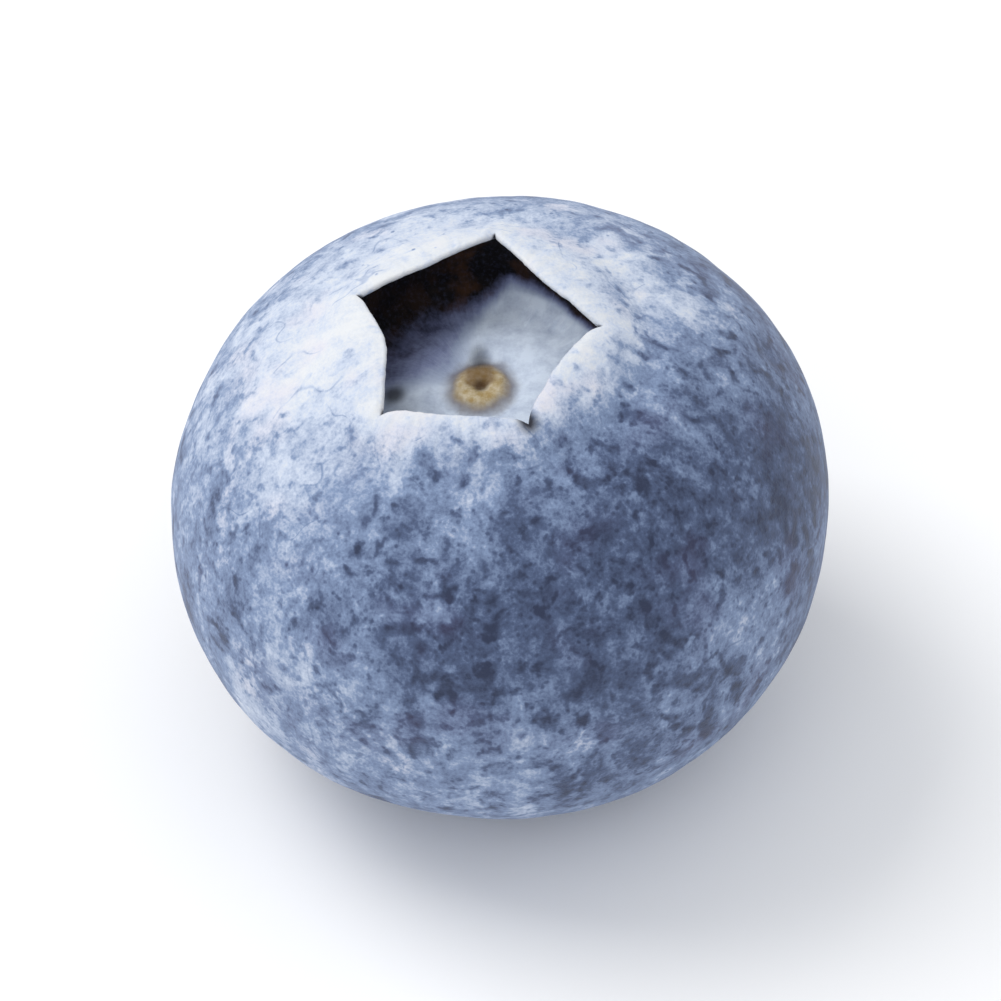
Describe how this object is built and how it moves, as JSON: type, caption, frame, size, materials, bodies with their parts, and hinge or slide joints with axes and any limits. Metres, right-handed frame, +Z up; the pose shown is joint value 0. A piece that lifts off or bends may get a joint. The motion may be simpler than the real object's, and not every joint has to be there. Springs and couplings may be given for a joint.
{
  "type": "blueberry",
  "caption": "Ripe blueberry: flattened globe with a star-shaped calyx crown round a shallow bowl on top, and a round stem scar inside the small flat ring that it rests on.",
  "frame": {"origin": "middle of the berry's outline seen from above, at the level of the surface that it rests on", "axes": "+Z up, from the stem scar to the crown; the crown leans about 8 degrees towards -X and -Y; -Y is the side that the picture shows"},
  "size_m": [0.016, 0.016, 0.0136],
  "materials": {
    "skin": "dark blue skin under a pale powdery wax bloom, matte, rubbed darker in patches"
  },
  "bodies": {
    "root": {"blueberry": "skin"}
  },
  "joints": []
}
